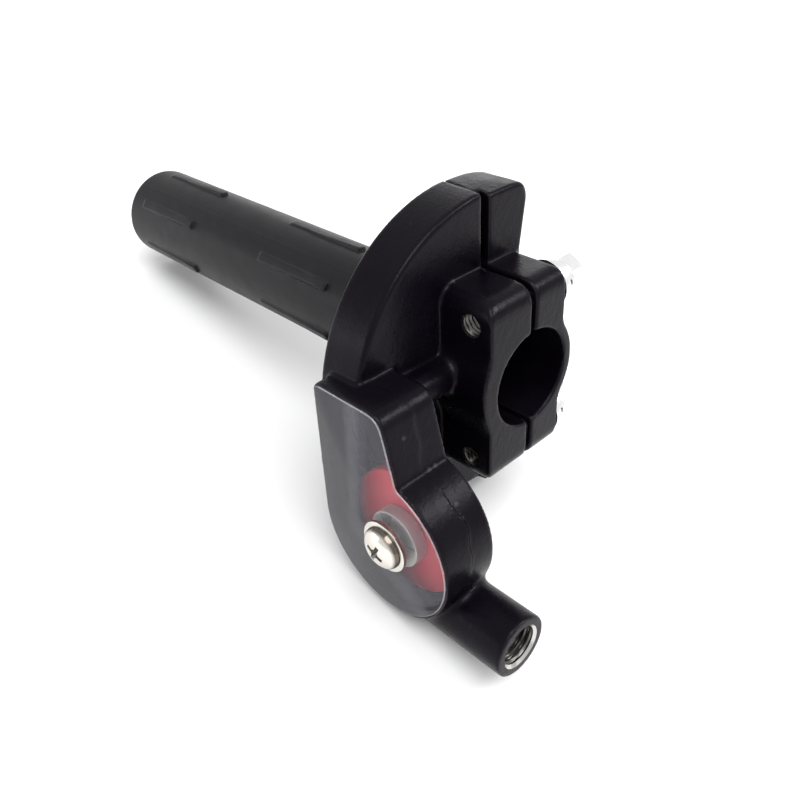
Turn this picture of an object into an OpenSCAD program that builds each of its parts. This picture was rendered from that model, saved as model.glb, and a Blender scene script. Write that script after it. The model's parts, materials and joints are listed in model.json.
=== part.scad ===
// Right-hand quick-action throttle: split die-cast housing with bar clamp, twist tube with
// cable drum, and a windowed arm in which a roller turns the cable towards the bar.
// Frame (mm): origin on the handlebar axis, in the clamp's inboard face; +X inboard along
// the bar; -Y to the front (window side); +Z up. The halves part close to the plane Y = 0.

/* [Handlebar and clamp] */
// Clamp bore radius for a 22.2 mm bar
bar_r = 11.1; // [10.8:0.05:11.5]
// Mating face of the front half, in front of the bar axis
split_front = 1.2; // [0.6:0.1:1.6]
// Mating face of the rear clamp half, behind the bar axis
split_rear = 0.4; // [0.2:0.1:1]
// Clamp half height
clamp_h = 22.3; // [21.5:0.1:26]
// Front face of the clamp (distance from the bar axis)
clamp_front = 13.8; // [12.5:0.1:15]
// Rear face of the clamp
clamp_rear = 10.2; // [9:0.1:14]
// Corner radius seen from the front
clamp_corner = 4.8; // [3:0.1:6]
// Radius of the front bulge round the bore
bulge_front = 15.9; // [14.5:0.1:16.5]
// Height of the front bulge's centre above the bar axis
bulge_up = 0.8; // [0:0.1:1.2]
// Radius of the rear bulge round the bore
bulge_rear = 13.7; // [13:0.1:17]
// Clamp bolt position along the bar
bolt_x = -5.6; // [-7.5:0.1:-5.5]
// Clamp bolt height above and below the bar
bolt_z = 16.5; // [15.5:0.1:17.5]
// Width of the bolt heads across their flats
head_af = 8; // [8:1:10]
// Height of the bolt heads with their flange
head_k = 5; // [4:0.1:6]

/* [Drum housing] */
// Outer radius of the drum cover at its outboard face
disc_r = 38.5; // [37.5:0.1:42]
// Draft of the front cover's rim, from its outboard to its inboard face
rim_draft = 0.5; // [0:0.1:1]
// Inboard face of the drum housing
disc_in = -13.9; // [-16:0.1:-12]
// Outboard face of the drum housing
disc_out = -24.7; // [-28:0.1:-23]
// Wall thickness of the two faces
wall = 2.1; // [1.6:0.1:3]
// Inner radius of the front drum cover
cave_r = 36.3; // [35:0.1:38]
// Flat underside of the front drum cover
disc_flat = -34.2; // [-38:0.1:-33]
// Half height of the rear cap at its inboard face
cap_h = 37; // [36:0.1:38]
// Depth of the rear cap at its shoulders
cap_d = 13.5; // [12:0.1:18]
// Corner radius of the rear cap's shoulders
cap_corner = 3.2; // [2:0.1:4]
// Width of the slot between the cap's inboard wall and the front half
wall_slot = 2.3; // [1:0.1:3]

/* [Twist tube and cable drum] */
// Outer radius of the twist tube
tube_r = 13.2; // [12.6:0.05:13.3]
// Bore radius of the twist tube
tube_bore = 11.3; // [11.15:0.05:11.6]
// Length of tube outside the housing
tube_l = 125.5; // [110:0.5:140]
// Radius of the cable groove, to the middle of the cable
groove_r = 32.4; // [28:0.1:33]
// Outer radius of the drum sector
drum_r = 33.9; // [30:0.1:34.5]
// Width of the drum sector
drum_w = 4; // [3:0.5:5]
// Start angle of the drum sector at rest
drum_a0 = 152; // [145:1:160]
// Angle of the drum sector
drum_span = 96; // [90:1:100]
// Full twist from closed to open
twist = 66; // [40:1:70]
// Length of one grip rib
rib_l = 28; // [20:0.5:34]
// Height of the grip ribs
rib_h = 0.6; // [0.4:0.1:1.2]

/* [Window arm and roller] */
// Roller axis, across (X)
rol_x = -3.6; // [-5:0.1:-3.4]
// Roller axis, up (Z)
rol_z = -21.7; // [-22.4:0.1:-21.4]
// Centre of the window's round end, across (X)
win_x = -5; // [-5.4:0.1:-4.6]
// Centre of the window's round end, up (Z)
win_z = -22.2; // [-22.6:0.1:-21.8]
// Middle plane of the roller and the cable
cable_y = -33.2; // [-34:0.1:-32]
// Radius of the round end of the window
win_r = 17.6; // [16.5:0.1:19]
// Front face of the arm
arm_front = -41.4; // [-43:0.1:-40]
// Back face of the arm
arm_back = -27; // [-28:0.1:-25]
// Roller outer radius
roller_r = 14.6; // [14:0.1:14.8]
// Roller from the cable plane to its front face
roller_f = 3.2; // [2:0.1:3.4]
// Roller from the cable plane to its back face
roller_b = 2; // [1.8:0.1:2.2]
// Radius of the shoulder of the roller bush
bush_head = 6.6; // [6:0.1:8]
// Radius of the roller's journal on its bush
bush_r = 5; // [4:0.1:6]

/* [Cable outlet] */
// End of the outlet pipe
pipe_end = 25; // [20:0.5:30]
// Height of the outlet pipe's axis, level with the cable where it leaves the roller
pipe_z = -36.5; // [-37:0.1:-35.5]
// Outer radius of the outlet pipe
pipe_r = 6.95; // [6:0.05:8]
// Wall radius of the tapped hole for the cable adjuster
thread_r = 4.45; // [4:0.05:5]
// Length of the tapped hole
thread_l = 13; // [8:0.5:16]

/* [Hidden] */
$fn = 96;
e = 0.5;
drum_in = disc_in - wall;            // inner faces of the drum chamber
drum_out = disc_out + wall;
drum_x = (disc_in + disc_out) / 2;   // cable plane in the drum
win_back = arm_front + 1.8;          // window seat
floor_y = -29.6;                     // arm floor
pad_y = cable_y + roller_b + 0.2;    // face of the roller's pad on the arm floor
black = [0.06, 0.06, 0.065];
steel = [0.82, 0.82, 0.83];

// 2-D in (Y, Z), drawn out along X
module along_x(x0, x1) translate([x0, 0, 0]) rotate([90, 0, 90])
  linear_extrude(x1 - x0) children();
// 2-D in (X, Z), drawn out along Y
module along_y(y0, y1) translate([0, y1, 0]) rotate([90, 0, 0])
  linear_extrude(y1 - y0) children();
// part turn about X: angles from +Y towards +Z, profile in (radius, X)
module sweep(a0, a1) rotate([90, 0, 90]) rotate([0, 0, a0])
  rotate_extrude(angle = a1 - a0) children();
// full turn about a line along Y through (x, z): profile in (radius, -Y)
module spin_y(x, z) translate([x, 0, z]) rotate([90, 0, 0]) rotate_extrude() children();
module cyl_y(x, z, y0, y1, r) translate([x, y1, z]) rotate([90, 0, 0])
  cylinder(r = r, h = y1 - y0);
module cyl_x(x0, x1, y, z, r) translate([x0, y, z]) rotate([0, 90, 0])
  cylinder(r = r, h = x1 - x0);
// rounded rectangle
module rr(x0, x1, y0, y1, r) {
  translate([x0 + r, y0]) square([x1 - x0 - 2 * r, y1 - y0]);
  translate([x0, y0 + r]) square([x1 - x0, y1 - y0 - 2 * r]);
  for (x = [x0 + r, x1 - r], y = [y0 + r, y1 - r]) translate([x, y]) circle(r);
}
module front_side() translate([-60, -60]) square([60 - split_front, 120]);
module rear_side(y) translate([y, -60]) square([60, 120]);

// the window's outline grown by o, from y0 to y1: straight sides above, round roller end
// below. The sides stop 0.02 mm inside the round ends, so that they cross them cleanly.
module arm_block(y0, y1, o) {
  nx = 0.9707; nz = 0.2403;          // normal of the slanting side
  cx = -6.3; cz = 6.0; cr = 3.5 + o;
  left = win_x - win_r - o;
  cyl_y(win_x, win_z, y0, y1, win_r + o);
  cyl_y(cx, cz, y0, y1, cr);
  along_y(y0, y1) polygon([[left + 0.02, win_z - 1], [left + 0.5, cz + 2.5 + o],
    [left + 1.5, cz + 3.5 + o], [cx + 0.5, cz + cr - 0.02],
    [cx + cr * nx - 0.05, cz + cr * nz + 0.3],
    [cx + cr * nx + 3.4, cz + cr * nz - 13.7], [win_x, win_z]]);
}

// ---- front half of the housing: drum cover, clamp half, window arm and outlet pipe ----
module clamp_front_2d() intersection() {
  union() {
    rr(-clamp_front, 20, -clamp_h, clamp_h, 4);
    translate([0, bulge_up]) circle(bulge_front);
  }
  front_side();
}
module front_housing() color(black) difference() {
  union() {
    intersection() {
      translate([disc_out, 0, 0]) rotate([0, 90, 0])
        cylinder(r1 = disc_r, r2 = disc_r - rim_draft, h = disc_in - disc_out);
      along_x(disc_out - e, disc_in + e) intersection() {
        front_side();
        translate([-60, disc_flat]) square([120, 100]);
      }
    }
    intersection() {
      along_x(disc_in - e, 0) clamp_front_2d();
      along_y(-20, 0) rr(-40, 0, -clamp_h, clamp_h, clamp_corner);
    }
    arm_block(arm_front, arm_back, 0.5);
    // round rib from the arm to the clamp
    cyl_y(disc_in + 2.1, 3.3, arm_back - e, -clamp_front + e, 3.8);
    // outlet pipe and its root under the roller
    cyl_x(-3, pipe_end, cable_y, pipe_z, pipe_r);
    translate([-3, cable_y, pipe_z]) sphere(pipe_r);
    // boss for the window screw, behind the arm
    cyl_y(rol_x, rol_z, arm_back - e, -22.5, 5);
  }
  // drum chamber
  difference() {
    along_x(drum_out, drum_in) intersection() {
      circle(cave_r);
      translate([-60, disc_flat + 1.7]) square([60, 100]);
    }
    // closed stop
    sweep(drum_a0 + drum_span + 0.6, drum_a0 + drum_span + 12)
      translate([20, drum_out - e]) square([20, drum_in - drum_out + 2 * e]);
  }
  // arm chamber, window seat
  difference() {
    arm_block(win_back - e, floor_y, -1.1);
    cyl_y(rol_x, rol_z, pad_y, floor_y + e, 8);
  }
  arm_block(arm_front - e, win_back, 0.08);
  // bar bore with a small lead, tube bore
  cyl_x(drum_in - e, e, 0, 0, bar_r);
  translate([-0.5, 0, 0]) rotate([0, 90, 0]) cylinder(r1 = bar_r, r2 = bar_r + 0.6, h = 0.6);
  cyl_x(disc_out - e, drum_out + e, 0, 0, tube_r + 0.08);
  // tapped clamp holes
  for (s = [-1, 1]) cyl_y(bolt_x, s * bolt_z, -clamp_front - 3, e, 3.0);
  // window screw hole
  cyl_y(rol_x, rol_z, pad_y - e, -23.5, 2.5);
  // tapped outlet, chamfered, and cable passage into the roller chamber
  cyl_x(pipe_end - thread_l, pipe_end + e, cable_y, pipe_z, thread_r);
  translate([pipe_end - 0.95, cable_y, pipe_z]) rotate([0, 90, 0])
    cylinder(r1 = thread_r, r2 = thread_r + 1, h = 1);
  cyl_x(0, pipe_end - thread_l + e, cable_y, pipe_z, 1.75);
}

// ---- rear cap: drum cover and clamp half ----
// outline of the drum cover: round rim, rounded shoulders, rear face sloping to a bulge
module cap_2d(y) intersection() {
  cy = cap_d - cap_corner;
  cz = sqrt(pow(disc_r - cap_corner, 2) - cy * cy);
  union() {
    intersection() {
      circle(disc_r);
      polygon([[-2, 60], [cy, 60], [cy, cz], [cap_d - 0.06, cz - 0.5], [11.7, 22],
               [11.7, -22], [cap_d - 0.06, -cz + 0.5], [cy, -cz], [cy, -60], [-2, -60]]);
    }
    for (s = [-1, 1]) translate([cy, s * cz]) circle(cap_corner);
    circle(15.6);
  }
  rear_side(y);
}
// the rim lies flat at the inboard face and runs out into the round rim outboard
module cap_rim_cut() {
  slope = atan((disc_r - cap_h) / (disc_in - disc_out));
  for (s = [0, 1]) mirror([0, 0, s]) translate([disc_in, -5, cap_h]) rotate([0, slope, 0])
    translate([-30, 0, 0]) cube([40, 40, 20]);
}
module cap_chamber_2d() {
  polygon([[-2, cap_h - 2], [cap_d - 4.2, cap_h - 2], [cap_d - 2.2, cap_h - 4.4],
           [9.6, 21], [9.6, -21], [cap_d - 2.2, -cap_h + 4.4],
           [cap_d - 4.2, -cap_h + 2], [-2, -cap_h + 2]]);
  circle(14);
}
module rear_cap() color(black) difference() {
  union() {
    difference() {
      union() {
        along_x(disc_out, drum_in - 0.6) cap_2d(0.4 - split_front);
        along_x(drum_in - 0.6 - e, disc_in) cap_2d(wall_slot - split_front);
      }
      cap_rim_cut();
    }
    intersection() {
      along_x(disc_in - e, 0) intersection() {
        union() {
          rr(-20, clamp_rear, -clamp_h, clamp_h, 1.5);
          circle(bulge_rear);
        }
        rear_side(split_rear);
      }
      along_y(0, 20) rr(-40, 0, -clamp_h, clamp_h, clamp_corner);
    }
  }
  difference() {
    along_x(drum_out, drum_in) cap_chamber_2d();
    // open stop
    sweep(drum_a0 - twist - 13, drum_a0 - twist - 0.6)
      translate([20, drum_out - e]) square([20, drum_in - drum_out + 2 * e]);
  }
  cyl_x(drum_in - e, e, 0, 0, bar_r);
  translate([-0.5, 0, 0]) rotate([0, 90, 0]) cylinder(r1 = bar_r, r2 = bar_r + 0.6, h = 0.6);
  cyl_x(disc_out - e, drum_out + e, 0, 0, tube_r + 0.08);
  for (s = [-1, 1]) cyl_y(bolt_x, s * bolt_z, -e, clamp_rear + 6, 3.3);
}

// ---- twist tube, one moulding with the cable drum ----
module throttle_tube() color([0.09, 0.09, 0.095]) difference() {
  xi = drum_in - 0.3;
  xo = drum_out + 0.3;
  end = disc_out - tube_l;
  si = drum_x + drum_w / 2;
  so = drum_x - drum_w / 2;
  union() {
    sweep(0, 360) polygon([[tube_bore, xi], [13.6, xi], [13.6, xo], [tube_r, xo],
      [tube_r, end + 1.4], [tube_r - 0.45, end + 0.4], [tube_r - 1.1, end],
      [tube_bore, end]]);
    sweep(drum_a0, drum_a0 + drum_span)
      polygon([[13, si], [drum_r - 0.3, si], [drum_r, si - 0.3], [drum_r, drum_x + 1],
               [groove_r - 0.75, drum_x + 0.8], [groove_r - 0.75, drum_x - 0.8],
               [drum_r, drum_x - 1], [drum_r, so + 0.3], [drum_r - 0.3, so], [13, so]]);
    for (a = [24 : 60 : 324], x = [end + 7.2, end + 67.4]) rotate([a - 90, 0, 0])
      translate([x, -1.25, tube_r - 0.6]) cube([rib_l, 2.5, rib_h + 0.6]);
  }
  // lightening pockets on both sides of the drum web
  for (k = [1 : 2]) sweep(drum_a0 + k * 29 + 3, drum_a0 + k * 29 + 28) {
    translate([17, si - 1]) square([11.5, 3]);
    translate([17, so - 2]) square([11.5, 3]);
  }
  // cable nipple pocket with its slot to the groove
  rotate([drum_a0 + 8, 0, 0]) {
    translate([drum_x - 1.4, 29, 0]) rotate([0, 90, 0]) cylinder(r = 3.1, h = 6);
    translate([drum_x - 0.8, 30, -0.8]) cube([1.6, 6, 1.6]);
  }
}

// ---- fasteners ----
// M6 x 20 with a small flange, 8 mm across the flats
module clamp_bolts() color(steel) for (s = [-1, 1]) {
  y = clamp_rear + 3.2;              // underside of the flange
  top = y + head_k;
  cyl_y(bolt_x, s * bolt_z, y - 20, y + 0.1, 2.95);
  cyl_y(bolt_x, s * bolt_z, y, y + 0.9, 4.8);
  intersection() {
    translate([bolt_x, top, s * bolt_z]) rotate([90, 0, 0]) rotate([0, 0, 30])
      cylinder(r = head_af / sqrt(3), h = head_k - 0.5, $fn = 6);
    spin_y(bolt_x, s * bolt_z)
      polygon([[0, -y], [6, -y], [6, -top + 1.2], [head_af / 2 - 0.1, -top], [0, -top]]);
  }
}
module plain_washers() color(steel) for (s = [-1, 1]) spin_y(bolt_x, s * bolt_z)
  translate([3.2, -clamp_rear - 1.6]) square([2.3, 1.6]);
module spring_washers() color(steel) for (s = [-1, 1]) translate([bolt_x, 0, s * bolt_z])
  rotate([90, 0, 0]) rotate([0, 0, 20]) rotate_extrude(angle = 346)
    translate([3.1, -clamp_rear - 3.2]) square([1.9, 1.6]);

// ---- window ----
module window_cover() color([0.85, 0.87, 0.9, 0.35]) difference() {
  arm_block(arm_front - 0.2, win_back, 0);
  cyl_y(rol_x, rol_z, arm_front - 1, win_back + 1, 2.7);
}
module window_screw() color(steel) {
  y0 = arm_front - 1.2;              // underside of the head
  difference() {
    spin_y(rol_x, rol_z) polygon([[0, -y0 + 2.6], [1.6, -y0 + 2.5], [3.1, -y0 + 2.1],
      [4.3, -y0 + 1.4], [4.9, -y0 + 0.6], [4.9, -y0], [2.45, -y0], [2.45, 24.2], [2.0, 23.8],
      [0, 23.8]]);
    for (a = [25, 115]) translate([rol_x, y0 - 3, rol_z]) rotate([0, a, 0])
      translate([-2.3, 0, -0.45]) cube([4.6, 1.9, 0.9]);
  }
}
module screw_washer() color(steel) spin_y(rol_x, rol_z)
  translate([2.7, -arm_front + 0.2]) square([3.2, 1.0]);

// ---- cable roller on its shouldered bush ----
module cable_roller() color([0.78, 0.05, 0.07]) spin_y(rol_x, rol_z) {
  c = -cable_y;
  f = c + roller_f;
  b = c - roller_b;
  g = roller_r - 1.3;                // bottom of the rope groove
  polygon([[bush_r + 0.06, b], [roller_r - 0.7, b], [roller_r, b + 0.7],
    [roller_r, c - 1.1], [g + 0.4, c - 0.8], [g, c - 0.4], [g, c + 0.4], [g + 0.4, c + 0.8],
    [roller_r, c + 1.1], [roller_r, f - 0.7], [roller_r - 0.7, f], [bush_r + 0.06, f]]);
}
module roller_bush() color([0.75, 0.76, 0.77]) spin_y(rol_x, rol_z)
  polygon([[2.6, -pad_y], [bush_r, -pad_y], [bush_r, -cable_y + roller_f + 0.1],
    [bush_head, -cable_y + roller_f + 0.1], [bush_head, -win_back], [2.6, -win_back]]);

throttle_tube();
front_housing();
rear_cap();
clamp_bolts();
plain_washers();
spring_washers();
window_cover();
window_screw();
screw_washer();
cable_roller();
roller_bush();
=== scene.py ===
import json
import math
import bpy
import bmesh
import numpy as np
from mathutils import Matrix, Vector


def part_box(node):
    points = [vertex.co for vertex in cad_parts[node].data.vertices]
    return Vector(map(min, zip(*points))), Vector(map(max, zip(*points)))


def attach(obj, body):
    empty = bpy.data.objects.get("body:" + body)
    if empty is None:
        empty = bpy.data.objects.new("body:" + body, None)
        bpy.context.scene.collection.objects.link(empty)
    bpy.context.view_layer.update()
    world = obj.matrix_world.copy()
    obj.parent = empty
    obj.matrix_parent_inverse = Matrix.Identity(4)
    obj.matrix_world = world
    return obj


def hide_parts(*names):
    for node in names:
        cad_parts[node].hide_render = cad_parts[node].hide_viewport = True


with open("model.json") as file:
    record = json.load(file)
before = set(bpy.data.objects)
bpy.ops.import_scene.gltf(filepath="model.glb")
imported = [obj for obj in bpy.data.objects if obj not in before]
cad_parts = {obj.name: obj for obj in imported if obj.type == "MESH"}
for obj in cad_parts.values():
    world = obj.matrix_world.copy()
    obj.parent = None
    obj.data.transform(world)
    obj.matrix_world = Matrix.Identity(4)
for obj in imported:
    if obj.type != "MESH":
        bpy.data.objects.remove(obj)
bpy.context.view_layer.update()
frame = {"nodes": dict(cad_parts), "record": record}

MM = 0.001            # the part's sizes are in millimetres; camera, lamps and materials use metres


def node_box(node):
    low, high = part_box(node)
    return np.array(low) / MM, np.array(high) / MM


def mount(name):
    """Place and dimensions of one of the record's mounts."""
    found = next(m for m in frame["record"]["mounts"] if m["name"] == name)
    return np.array(found["pos_m"]) / MM, found["dims"]


# ---- places taken from the frame ----
HOUSE_LO, HOUSE_HI = node_box("front_housing")
CAP_LO, CAP_HI = node_box("rear_cap")
TUBE_LO, TUBE_HI = node_box("throttle_tube")
WIN_LO, WIN_HI = node_box("window_cover")
ROLL_LO, ROLL_HI = node_box("cable_roller")
BUSH_LO, BUSH_HI = node_box("roller_bush")
BOLT_LO, BOLT_HI = node_box("clamp_bolts")
PLAIN_LO, PLAIN_HI = node_box("plain_washers")
SPRING_LO, SPRING_HI = node_box("spring_washers")
SCREW_LO, SCREW_HI = node_box("window_screw")
RING_LO, RING_HI = node_box("screw_washer")
ROLL_X, ROLL_Z = ((ROLL_LO + ROLL_HI) / 2)[[0, 2]]
ROLL_AXIS = (ROLL_X, 0, ROLL_Z)
WIN_R = (WIN_HI[0] - WIN_LO[0]) / 2
WIN_X, WIN_Z = WIN_LO[0] + WIN_R, WIN_LO[2] + WIN_R
WIN_BACK = WIN_HI[1]
BAR_R = mount("bar_clamp")[1]["r_mm"]
BORE_R = mount("tube_bore")[1]["r_mm"]
TUBE_R = mount("grip_seat")[1]["r_mm"]
CABLE_Y, PIPE_Z = mount("cable_outlet")[0][1:]            # the cable's plane, the outlet's height

# ---- fasteners and threads ----
M6_BOLT, M6_TAP = (2.45, 2.95, 1.0), (2.55, 3.0, 1.0)     # inner radius, outer radius, pitch
M5_SCREW, M10_TAP = (2.05, 2.45, 0.8), (4.4, 5.0, 1.25)
FLANGE_R = 4.8                                            # flange of the clamp bolts
BOLT_X, BOLT_Z = (BOLT_LO[0] + BOLT_HI[0]) / 2, BOLT_HI[2] - FLANGE_R
BOLT_HOLE_R, SCREW_HOLE_R, WINDOW_HOLE_R = 3.3, 2.5, 2.7

# ---- the housing's sizes, following the CAD ----
DISC_IN, DISC_OUT = -13.9, HOUSE_LO[0]                    # drum cover
DISC_MIDDLE = (DISC_IN + DISC_OUT) / 2
DISC_R, RIM_DRAFT, DISC_FLAT = HOUSE_HI[2], 0.5, -34.2
CAVE_R, WALL, FLAT_WALL, PLAY = 36.3, 2.1, 1.7, 0.08
CAVE_OUT, CAVE_IN = DISC_OUT + WALL, DISC_IN - WALL
CAP_H, CAP_DEPTH, CAP_BULGE = 37.0, 13.5, 15.6            # rear cap
CAP_FLAT, CAP_FLAT_H, CAP_SLOPE = 11.7, 22.0, 0.158
SPLIT_FRONT, SPLIT_REAR = -1.2, 0.4                       # mating faces of the halves
LIP, WALL_EDGE = -0.8, 1.1
CLAMP_H, CLAMP_CORNER = 22.3, 4.8                         # bar clamp
CLAMP_FRONT, CLAMP_REAR = -13.8, 10.2
BULGE_FRONT, BULGE_UP, BULGE_REAR = 15.9, 0.8, 13.7
ARM_FRONT, ARM_BACK, ARM_FLOOR = HOUSE_LO[1], -27.0, -29.6
CASE, CHAMBER = 0.5, -1.1                                 # growth of the window's outline
CORNER_X, CORNER_Z, CORNER_R = -6.3, 6.0, 3.5             # round corner of the window
PAD_R, PAD_Y = 8.0, BUSH_HI[1]                            # the roller's pad in the arm
BOSS_R, BOSS_BACK = 5.0, -22.5                            # boss of the window's screw
RIB_X, RIB_Z, RIB_R = DISC_IN + 2.1, 3.3, 3.8             # rib from the arm to the clamp
PIPE_R, PIPE_START, PIPE_END = 6.95, -3.0, HOUSE_HI[0]    # outlet pipe
TAP_L, PASSAGE_R = 13.0, 1.75

# ---- the tube's sizes, following the CAD ----
HUB_R = 13.6
RIB_STARTS, RIB_LENGTH, RIB_HALF = (7.2, 67.4), 28.0, 1.25
DRUM_R, DRUM_HALF, DRUM_START, DRUM_SPAN = 33.9, 2.0, 152, 96
POCKET_R, POCKET_HALF = 22.75, 5.75                       # lightening pockets in the web
NIPPLE_R, NIPPLE_OUT = 3.1, 29                            # pocket for the cable's nipple

PARTING_Y = -33.8     # the die's parting line round the arm, in the visual model only
GRID = 0.42           # spacing of the castings' distance grid


# ---- camera, light and floor ----
def camera():
    """The camera: its back and right directions and its place, fitted to the part's edges."""
    back = Vector((0.61171, -0.55251, 0.56617)).normalized()
    up = back.cross(Vector((0.69465, 0.71759, -0.05024))).normalized()
    data = bpy.data.cameras.new("camera")
    cam = bpy.data.objects.new("camera", data)
    bpy.context.collection.objects.link(cam)
    data.lens, data.sensor_width = 36.745, 36
    data.clip_start, data.clip_end = 0.01, 10
    cam.matrix_world = Matrix((up.cross(back), up, back)).transposed().to_4x4()
    cam.matrix_world.translation = (0.08871, -0.11892, 0.09639)
    bpy.context.scene.camera = cam


def area_light(name, place, target, size, power):
    data = bpy.data.lights.new(name, "AREA")
    data.shape, data.size, data.size_y = "RECTANGLE", size[0], size[1]
    data.energy = power
    lamp = bpy.data.objects.new(name, data)
    bpy.context.collection.objects.link(lamp)
    lamp.location = place
    lamp.rotation_euler = (Vector(target) - Vector(place)).to_track_quat("-Z", "Y").to_euler()


def soft_sun(place, angle, strength):
    """A lamp so far off that it lights the whole floor evenly, and so wide that it is soft."""
    data = bpy.data.lights.new("soft_sun", "SUN")
    data.angle, data.energy = math.radians(angle), strength
    lamp = bpy.data.objects.new("soft_sun", data)
    bpy.context.collection.objects.link(lamp)
    lamp.rotation_euler = (-Vector(place)).to_track_quat("-Z", "Y").to_euler()


def studio():
    """White surroundings, seen by the camera a little brighter than they light, and four lamps."""
    scene = bpy.context.scene
    scene.view_settings.view_transform = "Standard"
    world = bpy.data.worlds.new("studio")
    scene.world = world
    world.use_nodes = True
    sky = world.node_tree.nodes["Background"]
    sky.inputs["Color"].default_value = (1, 1, 1, 1)
    path = world.node_tree.nodes.new("ShaderNodeLightPath")
    level = world.node_tree.nodes.new("ShaderNodeMapRange")
    level.inputs["To Min"].default_value = 0.85
    level.inputs["To Max"].default_value = 1.0
    world.node_tree.links.new(path.outputs["Is Camera Ray"], level.inputs["Value"])
    world.node_tree.links.new(level.outputs["Result"], sky.inputs["Strength"])
    soft_sun((0.40, -0.20, 0.90), 38, 2.0)
    area_light("rear_left", (-0.72, 0.84, 0.42), (-0.02, 0, 0.02), (0.5, 0.28), 1.1)
    area_light("rear_right", (0.65, 0.62, 0.7), (0, 0, 0), (0.5, 0.35), 5.0)
    area_light("front_left", (-0.75, -0.85, 0.12), (0, 0, 0), (0.7, 0.4), 2.2)


def floor(material):
    """A pale table under the three places that the part lies on: tube end, rear cap and arm."""
    reach = 3.0           # m, far past the edges of the view
    inset = 7.0           # mm, from the cap's and the arm's outer faces to where they touch
    tube_end = np.array([TUBE_LO[0], 0.0, -TUBE_R])
    cap_foot = np.array([DISC_OUT, CAP_DEPTH - inset, CAP_LO[2] + 0.5])
    arm_foot = np.array([WIN_X, ARM_FRONT + inset, WIN_Z - WIN_R - CASE])
    normal = np.cross(arm_foot - cap_foot, tube_end - cap_foot)
    normal /= np.linalg.norm(normal) * (1 if normal[2] > 0 else -1)
    points = [np.array([v.co for v in node.data.vertices]) for node in frame["nodes"].values()]
    level = min(float((p @ normal).min()) for p in points) - 0.2 * MM
    along = np.cross((0.0, 1.0, 0.0), normal)
    along /= np.linalg.norm(along)
    across = np.cross(normal, along)
    corners = [normal * level + reach * (u * along + v * across)
               for u, v in ((-1, -1), (1, -1), (1, 1), (-1, 1))]
    mesh = bpy.data.meshes.new("floor")
    mesh.from_pydata([tuple(c) for c in corners], [], [(0, 1, 2, 3)])
    plane = bpy.data.objects.new("floor", mesh)
    bpy.context.collection.objects.link(plane)
    mesh.materials.append(material)


# ---- materials ----
class Shader:
    """A material whose nodes are made one call at a time."""

    def __init__(self, name):
        self.material = bpy.data.materials.new(name)
        self.material.use_nodes = True
        self.tree = self.material.node_tree
        self.main = self.tree.nodes["Principled BSDF"]
        self.place = self.node("TexCoord").outputs["Object"]

    def node(self, kind, inputs=(), **settings):
        made = self.tree.nodes.new("ShaderNode" + kind)
        for key, value in settings.items():
            setattr(made, key, value)
        for key, value in dict(inputs).items():
            self.set(made, key, value)
        return made

    def set(self, node, key, value):
        socket = node.inputs[key]
        if isinstance(value, bpy.types.NodeSocket):
            self.tree.links.new(value, socket)
        elif isinstance(value, tuple) and len(value) == 3 and socket.type == "RGBA":
            socket.default_value = (*value, 1)
        else:
            socket.default_value = value

    def base(self, **values):
        for key, value in values.items():
            self.set(self.main, key.replace("_", " "), value)

    def stretched(self, scale):
        """Object coordinates, stretched by a factor for each axis."""
        return self.node("Mapping", {"Vector": self.place, "Scale": scale}).outputs["Vector"]

    def noise(self, scale, detail=3.0, place=None, distortion=0.0):
        inputs = {"Vector": place or self.place, "Scale": scale, "Detail": detail,
                  "Distortion": distortion}
        return self.node("TexNoise", inputs).outputs["Fac"]

    def spread(self, value, low, high, out_low=0.0, out_high=1.0):
        """A value's range from low to high, brought to another range and held within it."""
        inputs = {"Value": value, "From Min": low, "From Max": high,
                  "To Min": out_low, "To Max": out_high}
        return self.node("MapRange", inputs).outputs["Result"]

    def maths(self, operation, a, b=0.0, c=0.0):
        return self.node("Math", {0: a, 1: b, 2: c}, operation=operation).outputs["Value"]

    def mix(self, factor, a, b):
        made = self.node("Mix", data_type="RGBA")
        self.set(made, 0, factor)
        self.set(made, 6, a)
        self.set(made, 7, b)
        return made.outputs[2]

    def bump(self, height, distance, strength=1.0, normal=None):
        made = self.node("Bump", {"Height": height, "Distance": distance, "Strength": strength})
        if normal:
            self.set(made, "Normal", normal)
        return made.outputs["Normal"]

    def specks(self, scale, size):
        """Sparse round specks: 1 inside a speck and 0 outside."""
        cells = self.node("TexVoronoi", {"Vector": self.place, "Scale": scale})
        dot = self.spread(cells.outputs["Distance"], size, size * 0.4)
        keep = self.node("SeparateColor", {"Color": cells.outputs["Color"]}).outputs["Red"]
        return self.maths("MULTIPLY", dot, self.maths("GREATER_THAN", keep, 0.86))


def cast_black():
    """Satin black coating: clouded, slightly orange-peeled, worn on its edges, a little dusty."""
    s = Shader("cast_black")
    cloud = s.noise(90, 4)
    grain = s.noise(1500, 3)
    dust = s.maths("MULTIPLY", s.specks(420, 0.08), s.noise(60, 2))
    edge = s.node("NewGeometry").outputs["Pointiness"]
    worn = s.spread(edge, 0.53, 0.60)
    colour = s.mix(s.spread(cloud, 0.35, 0.7), (0.0018, 0.0010, 0.0027), (0.0034, 0.0024, 0.0046))
    colour = s.mix(s.maths("MULTIPLY", worn, 0.35), colour, (0.06, 0.06, 0.065))
    colour = s.mix(s.maths("MULTIPLY", dust, 0.16), colour, (0.35, 0.35, 0.34))
    rough = s.spread(s.noise(260, 5), 0.3, 0.7, 0.25, 0.34)
    peel = s.bump(s.noise(650, 2), 0.00008, 0.42)
    s.base(Base_Color=colour, Roughness=rough, Specular_IOR_Level=0.11,
           Specular_Tint=(0.93, 0.89, 1.0),
           Normal=s.bump(grain, 0.00005, 0.9, peel))
    return s.material


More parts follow.
